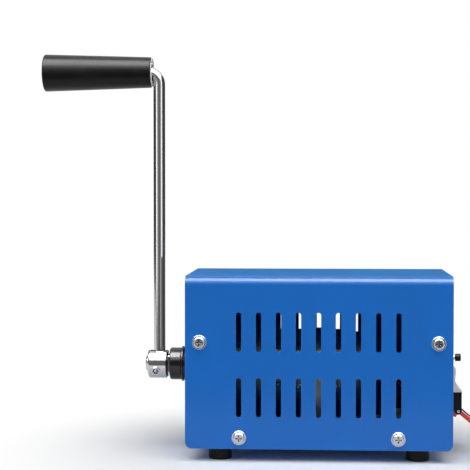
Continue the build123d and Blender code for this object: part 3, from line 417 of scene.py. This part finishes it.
# %% Drawn streaks: the fine lines that a brush, a lathe or a drawing die leaves in metal
streaks, streaks_in, streaks_out = effect(
    "drawn streaks",
    [("Length", NUMBER, 20.0), ("Width", NUMBER, 0.3), ("Along", "NodeSocketVector", (1, 0, 0))],
    [("Height", NUMBER)],
)
where = streaks.nodes.new("ShaderNodeTexCoord")
project = streaks.nodes.new("ShaderNodeVectorMath")
project.operation = "MULTIPLY"
across = streaks.nodes.new("ShaderNodeVectorMath")
across.operation = "SUBTRACT"
long_part = streaks.nodes.new("ShaderNodeVectorMath")
long_part.operation = "SCALE"
wide_part = streaks.nodes.new("ShaderNodeVectorMath")
wide_part.operation = "SCALE"
both = streaks.nodes.new("ShaderNodeVectorMath")
both.operation = "ADD"
lines = streaks.nodes.new("ShaderNodeTexNoise")
lines.inputs["Scale"].default_value = 1.0
lines.inputs["Detail"].default_value = 2.0
joined(
    streaks,
    (where.outputs["Object"], project.inputs[0]),
    (streaks_in.outputs["Along"], project.inputs[1]),
    (where.outputs["Object"], across.inputs[0]),
    (project.outputs["Vector"], across.inputs[1]),
    (project.outputs["Vector"], long_part.inputs[0]),
    (maths(streaks, "DIVIDE", 1.0 / mm, streaks_in.outputs["Length"]), long_part.inputs["Scale"]),
    (across.outputs["Vector"], wide_part.inputs[0]),
    (maths(streaks, "DIVIDE", 1.0 / mm, streaks_in.outputs["Width"]), wide_part.inputs["Scale"]),
    (long_part.outputs["Vector"], both.inputs[0]),
    (wide_part.outputs["Vector"], both.inputs[1]),
    (both.outputs["Vector"], lines.inputs["Vector"]),
    (lines.outputs["Fac"], streaks_out.inputs["Height"]),
)
print("effect", streaks.name)

# %% [markdown]
# ## Finishes: one material for each finish on the object
#
# Each material places the effects above in a row: colour and patches first, then worn edges, painted shade in recesses
# and dust, and grain or streaks as a shallow bump. What is the same all over, such as how metallic it is, is set on
# the shader itself.


# %% A helper that builds a finish
def placed(mat, group, **values):
    """Places a shared effect in a material with its own values."""
    node = mat.node_tree.nodes.new("ShaderNodeGroup")
    node.node_tree = group
    for title, value in values.items():
        node.inputs[title.replace("_", " ")].default_value = value
    return node


def colour(red, green, blue):
    """A shader colour from the 0 to 255 values that a screen shows."""
    parts = [channel / 255 for channel in (red, green, blue)]
    return tuple(c / 12.92 if c <= 0.04045 else ((c + 0.055) / 1.055) ** 2.4 for c in parts) + (1.0,)


def finish(name, base, patch, amount, size, shine, metal=0.0, bump=None, worn=None, painted_recess_shade=None, dusty=0.0, coat=0.0,
           coat_rough=0.1, specular=0.5, sheen=None):
    """A material from the shared effects.

    `bump` is (effect, its values, depth in mm), `worn` is (colour, width, amount), the painted shade in recesses takes
    (reach, amount), and `sheen` is (weight, roughness, colour), for the haze that powder coat shows at a low angle.
    """
    mat = bpy.data.materials.new(name)
    mat.use_nodes = True
    tree = mat.node_tree
    shader = tree.nodes["Principled BSDF"]
    shader.inputs["Metallic"].default_value = metal
    shader.inputs["Specular IOR Level"].default_value = specular
    shader.inputs["Coat Weight"].default_value = coat
    shader.inputs["Coat Roughness"].default_value = coat_rough
    if sheen:
        for title, value in zip(("Sheen Weight", "Sheen Roughness", "Sheen Tint"), sheen):
            shader.inputs[title].default_value = value
    surface = placed(mat, patches, Color=base, Patch_color=patch, Patch_amount=amount, Patch_size=size,
                     Shine_low=shine[0], Shine_high=shine[1])
    tint, rough = surface.outputs["Color"], surface.outputs["Roughness"]
    if worn:
        rubbed = placed(mat, wear, Worn_color=worn[0], Width=worn[1], Amount=worn[2])
        tree.links.new(tint, rubbed.inputs["Color"])
        tint = rubbed.outputs["Color"]
    # painted shade: the occlusion group darkens the colour in hollows and joints
    if painted_recess_shade:
        dark = placed(mat, recess_shade_tree, Reach=painted_recess_shade[0], Amount=painted_recess_shade[1])
        tree.links.new(tint, dark.inputs["Color"])
        tint = dark.outputs["Color"]
    if dusty > 0:
        veil = placed(mat, dust, Amount=dusty)
        joined(tree, (tint, veil.inputs["Color"]), (rough, veil.inputs["Roughness"]))
        tint, rough = veil.outputs["Color"], veil.outputs["Roughness"]
    joined(tree, (tint, shader.inputs["Base Color"]), (rough, shader.inputs["Roughness"]))
    if bump:
        group, values, depth = bump
        relief = placed(mat, group, **values)
        raised = tree.nodes.new("ShaderNodeBump")
        raised.inputs["Distance"].default_value = depth * mm
        joined(
            tree,
            (relief.outputs["Height"], raised.inputs["Height"]),
            (raised.outputs["Normal"], shader.inputs["Normal"]),
        )
    finishes[name] = mat


finishes = {}

# %% Paint, plastics and rubber
# A finish with a recess entry gets painted shade darkening its hollows, from an occlusion mask.
peel = (grain, {"Size": 0.9, "Roughness": 0.35}, 0.012)
matt = (grain, {"Size": 0.45, "Roughness": 0.6}, 0.02)
finish("blue_paint", colour(0, 101, 190), colour(0, 94, 180), 0.5, 60, (0.4, 0.48), bump=peel,
       worn=(colour(70, 150, 214), 0.35, 0.3), coat=0.5, coat_rough=0.2, specular=0.12,
       sheen=(0.8, 0.45, colour(60, 175, 255)))
finish("black_plastic", colour(10, 10, 11), colour(18, 18, 19), 0.6, 22, (0.3, 0.38), bump=matt,
       worn=(colour(60, 60, 64), 0.3, 0.2), painted_recess_shade=(0.8, 0.7), specular=0.18)
finish("black_rubber", colour(9, 9, 10), colour(14, 14, 14), 0.6, 8, (0.5, 0.62),
       bump=(grain, {"Size": 0.7, "Roughness": 0.7}, 0.05), dusty=0.12, specular=0.22)
finish("grey_plastic", colour(222, 222, 216), colour(208, 208, 202), 0.5, 12, (0.36, 0.46), bump=matt,
       painted_recess_shade=(0.8, 0.5))
finish("red_plastic", colour(236, 22, 14), colour(220, 12, 8), 0.5, 6, (0.16, 0.24),
       bump=(grain, {"Size": 1.4}, 0.01), coat=0.5)
finish("dark_window", colour(14, 16, 20), colour(22, 24, 30), 0.4, 10, (0.06, 0.1),
       bump=(grain, {"Size": 3.0}, 0.004), coat=0.6)
finish("board_green", colour(22, 92, 52), colour(30, 112, 64), 0.6, 5, (0.3, 0.42),
       bump=(grain, {"Size": 1.2}, 0.02))
print("paint and plastics:", len(finishes))

# %% Metals
lathe = (streaks, {"Length": 0.25, "Width": 9.0, "Along": (1, 0, 0)}, 0.006)
drawn = (streaks, {"Length": 24.0, "Width": 0.2, "Along": (1, 0, 0)}, 0.004)
finish("chrome", colour(206, 206, 208), colour(190, 190, 192), 0.5, 25, (0.12, 0.17), 1.0,
       bump=(grain, {"Size": 6.0}, 0.004))
# The nickel's recess entry paints shade into the screw crosses and under the heads.
finish("nickel", colour(208, 211, 214), colour(186, 189, 192), 0.6, 4, (0.2, 0.3), 1.0,
       bump=(grain, {"Size": 0.4}, 0.004), worn=(colour(236, 232, 226), 0.2, 0.4), painted_recess_shade=(1.2, 0.9))
finish("black_metal", colour(15, 15, 16), colour(24, 24, 25), 0.6, 8, (0.16, 0.24), bump=lathe,
       worn=(colour(120, 120, 124), 0.3, 0.5), specular=0.5)
finish("zinc_steel", colour(196, 198, 196), colour(172, 176, 170), 0.8, 5, (0.25, 0.45), 1.0, bump=drawn, dusty=0.1)
finish("gear_steel", colour(176, 176, 178), colour(140, 138, 134), 0.5, 4, (0.18, 0.32), 1.0, bump=lathe)
finish("cast_alloy", colour(176, 178, 180), colour(150, 152, 154), 0.7, 4, (0.4, 0.55), 1.0,
       bump=(grain, {"Size": 0.5, "Roughness": 0.8}, 0.03))
finish("magnet", colour(58, 56, 54), colour(44, 42, 40), 0.6, 3, (0.5, 0.65), 0.3, bump=(grain, {"Size": 0.5}, 0.02))
finish("copper", colour(205, 120, 76), colour(170, 92, 58), 0.6, 4, (0.22, 0.36), 1.0,
       bump=(streaks, {"Length": 8.0, "Width": 0.4}, 0.02))
finish("bronze", colour(176, 132, 72), colour(150, 108, 58), 0.6, 4, (0.3, 0.42), 1.0, bump=lathe)
print("finishes:", ", ".join(sorted(finishes)))

# %% Every piece and every node that stays gets its finish
for name, piece in made.items():
    piece.data.materials.clear()
    piece.data.materials.append(finishes[finish_of[name]])
for name, node in nodes.items():
    for slot in node.material_slots:
        slot.material = finishes[slot_of[name]]
print("dressed", len(made), "new pieces and", len(nodes), "nodes")

# %% [markdown]
# ## The studio
#
# The photograph is a catalogue shot: a pale floor that runs away into white, and large soft lights. Chrome and black
# plastic take all of their looks from what surrounds them. So a broad light hangs over the front, two tall strips of
# light stand left and right of the camera, and dark cards close the sides, the back and the place behind the camera,
# as a product photographer would set them. A narrow bright card above the front draws the line of light along the
# roof's bend, and a small one beside the housing keeps the rod from mirroring nothing but blue paint. The cards are
# seen by shiny things alone, and cast no shadow.


# %% The floor
floor_radius = 6.0


def studio_floor():
    """A round floor, wide enough for any view."""
    disc = bmesh.new()
    bmesh.ops.create_circle(disc, cap_ends=True, segments=96, radius=floor_radius)
    mesh = bpy.data.meshes.new("studio_floor")
    disc.to_mesh(mesh)
    disc.free()
    floor = bpy.data.objects.new("studio_floor", mesh)
    bpy.context.scene.collection.objects.link(floor)
    return floor


def seen_directly(tree):
    """1 for rays from the camera, mirrors and glass, and 0 for the light that falls on things."""
    path = tree.nodes.new("ShaderNodeLightPath")
    shiny = maths(tree, "MAXIMUM", path.outputs["Is Camera Ray"], path.outputs["Is Glossy Ray"])
    return maths(tree, "MAXIMUM", shiny, path.outputs["Is Transmission Ray"])


floor = studio_floor()
print("floor", [round(v, 2) for v in floor.dimensions])

# %% The floor's paper: it keeps the object's shadow close by, and fades to plain white further out
paper_white, fade_from, fade_to = 0.93, 0.09, 0.25
paper = bpy.data.materials.new("floor_paper")
paper.use_nodes = True
sheet = paper.node_tree
matt_paper = sheet.nodes["Principled BSDF"]
matt_paper.inputs["Base Color"].default_value = (paper_white, paper_white, paper_white, 1)
matt_paper.inputs["Roughness"].default_value = 0.9
matt_paper.inputs["Specular IOR Level"].default_value = 0.05
where = sheet.nodes.new("ShaderNodeTexCoord")
far = sheet.nodes.new("ShaderNodeVectorMath")
far.operation = "DISTANCE"
far.inputs[1].default_value = (middle("cover").x, 0, 0)
fade = sheet.nodes.new("ShaderNodeMapRange")
fade.interpolation_type = "SMOOTHSTEP"
fade.inputs["From Min"].default_value = fade_from
fade.inputs["From Max"].default_value = fade_to
white = sheet.nodes.new("ShaderNodeEmission")
white.inputs["Color"].default_value = (1, 1, 1, 1)
mixed = sheet.nodes.new("ShaderNodeMixShader")
joined(
    sheet,
    (where.outputs["Object"], far.inputs[0]),
    (far.outputs["Value"], fade.inputs["Value"]),
    (maths(sheet, "MULTIPLY", fade.outputs["Result"], seen_directly(sheet)), mixed.inputs["Fac"]),
    (matt_paper.outputs["BSDF"], mixed.inputs[1]),
    (white.outputs["Emission"], mixed.inputs[2]),
    (mixed.outputs["Shader"], sheet.nodes["Material Output"].inputs["Surface"]),
)
floor.data.materials.append(paper)
print("paper fades from", fade_from, "to", fade_to, "m")


# %% Helpers that make a lamp or a card
unseen_by = ("camera", "diffuse", "shadow", "transmission", "volume_scatter")
gradient_power = 1.5


def facing(name, data, place_at, aim):
    """Puts a lamp or a card at a place, turned towards its aim."""
    holder = bpy.data.objects.new(name, data)
    bpy.context.scene.collection.objects.link(holder)
    holder.location = place_at
    holder.rotation_euler = (Vector(aim) - Vector(place_at)).to_track_quat("-Z", "Y").to_euler()
    return holder


def soft_light(name, place_at, aim, width, height, brightness):
    """A large soft lamp. Its brightness is that of its own face, where 1 is white."""
    lamp = bpy.data.lights.new(name, "AREA")
    lamp.shape = "RECTANGLE"
    lamp.size, lamp.size_y = width, height
    lamp.energy = brightness * width * height * math.pi
    return facing(name, lamp, place_at, aim)


def card(name, place_at, aim, width, height, middle_grey, side_grey):
    """A card that only shiny things see. Its grey changes smoothly from the middle to the two sides."""
    shape = bmesh.new()
    bmesh.ops.create_grid(shape, x_segments=1, y_segments=1, size=0.5)
    shape.transform(Matrix.Diagonal((width, height, 1, 1)))
    mesh = bpy.data.meshes.new(name)
    shape.to_mesh(mesh)
    shape.free()
    board = facing(name, mesh, place_at, aim)
    for eye in unseen_by:
        setattr(board, "visible_" + eye, False)
    felt = bpy.data.materials.new(name)
    felt.use_nodes = True
    tree = felt.node_tree
    glow = tree.nodes.new("ShaderNodeEmission")
    spot = tree.nodes.new("ShaderNodeTexCoord")
    split = tree.nodes.new("ShaderNodeSeparateXYZ")
    out_share = maths(tree, "DIVIDE", maths(tree, "ABSOLUTE", split.outputs["X"]), width / 2)
    rise = maths(tree, "MULTIPLY", maths(tree, "POWER", out_share, gradient_power), side_grey - middle_grey)
    joined(
        tree,
        (spot.outputs["Object"], split.inputs["Vector"]),
        (maths(tree, "ADD", rise, middle_grey), glow.inputs["Strength"]),
        (glow.outputs["Emission"], tree.nodes["Material Output"].inputs["Surface"]),
    )
    board.data.materials.append(felt)


# %% The lamps and cards, placed around the height of the crank's axis
# Each line says where, towards what, width and height in metres, and brightness in the middle and at the sides.
eye_level = Vector((0, 0, crank_axis.z))


def off(x, y, z):
    """A place measured from the crank's height in the middle of the set."""
    return eye_level + Vector((x, y, z))


soft_light("top_light", off(0, -0.75, 1.25), eye_level, 2.0, 1.5, 1.95)
for sign, glow in ((-1, 0.9), (1, 0.85)):
    soft_light("strip_light", off(1.13 * sign, -0.91, 0.2), eye_level, 0.46, 1.5, glow)
    card("side_card", off(1.6 * sign, 0.78, 0.4), off(0, 0.78, 0.4), 3.2, 2.2, 0.05, 0.08)
card("front_card", off(0, -1.7, 0.35), off(0, 0, 0.35), 2.9, 1.25, 0.11, 0.75)
card("floor_card", Vector((0, -1.0, 0.003)), Vector((0, -1.0, 1.0)), 2.6, 1.4, 0.11, 0.6)
card("back_card", off(0, 2.4, 0.3), off(0, 0, 0.3), 3.4, 1.8, 0.14, 0.08)
card("shine_card", off(0, -0.38, 1.1), eye_level, 2.4, 0.75, 18.0, 12.0)
house_low, house_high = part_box("cover")
beside_rod = Vector((house_low.x - 6 * mm, 0, house_high.z - 25 * mm))
card("rod_card", beside_rod, beside_rod - Vector((1, 0, 0)), 0.11, 0.07, 0.06, 0.9)
print("lamps and cards set")

# %% The room's own light, and plain white where the picture looks past the object
room_strength = 0.25
world = bpy.data.worlds.new("studio")
bpy.context.scene.world = world
world.use_nodes = True
air = world.node_tree
room = air.nodes["Background"]
room.inputs["Color"].default_value = (0.96, 0.98, 1.0, 1)
room.inputs["Strength"].default_value = room_strength
backdrop = air.nodes.new("ShaderNodeBackground")
backdrop.inputs["Color"].default_value = (1, 1, 1, 1)
backdrop.inputs["Strength"].default_value = 1.0
either = air.nodes.new("ShaderNodeMixShader")
joined(
    air,
    (seen_directly(air), either.inputs["Fac"]),
    (room.outputs["Background"], either.inputs[1]),
    (backdrop.outputs["Background"], either.inputs[2]),
    (either.outputs["Shader"], air.nodes["World Output"].inputs["Surface"]),
)
bpy.context.scene.view_settings.view_transform = "Standard"
print("room light", room_strength)

# %% [markdown]
# ## The camera
#
# The picture was taken from about a metre away with a long lens, a little above the housing's roof and a little to the
# right of the crank. The place was worked out from the screws, slots and feet, whose real distances are known.

# %% Camera
house_x = (house_low.x + house_high.x) / 2
sideways, distance, rise = 5.6 * mm, 1038.6 * mm, 177.2 * mm
yaw, pitch = -0.0642, -0.0291
lens = bpy.data.cameras.new("camera")
lens.sensor_width = 36.0
lens.lens = 109.4
camera = bpy.data.objects.new("camera", lens)
camera.location = (house_x + sideways, -distance, house_low.z + rise)
gaze = Vector((math.sin(yaw) * math.cos(pitch), math.cos(yaw) * math.cos(pitch), math.sin(pitch)))
camera.rotation_euler = gaze.to_track_quat("-Z", "Y").to_euler()
bpy.context.scene.collection.objects.link(camera)
bpy.context.scene.camera = camera
print("camera at", [round(v, 4) for v in camera.location])
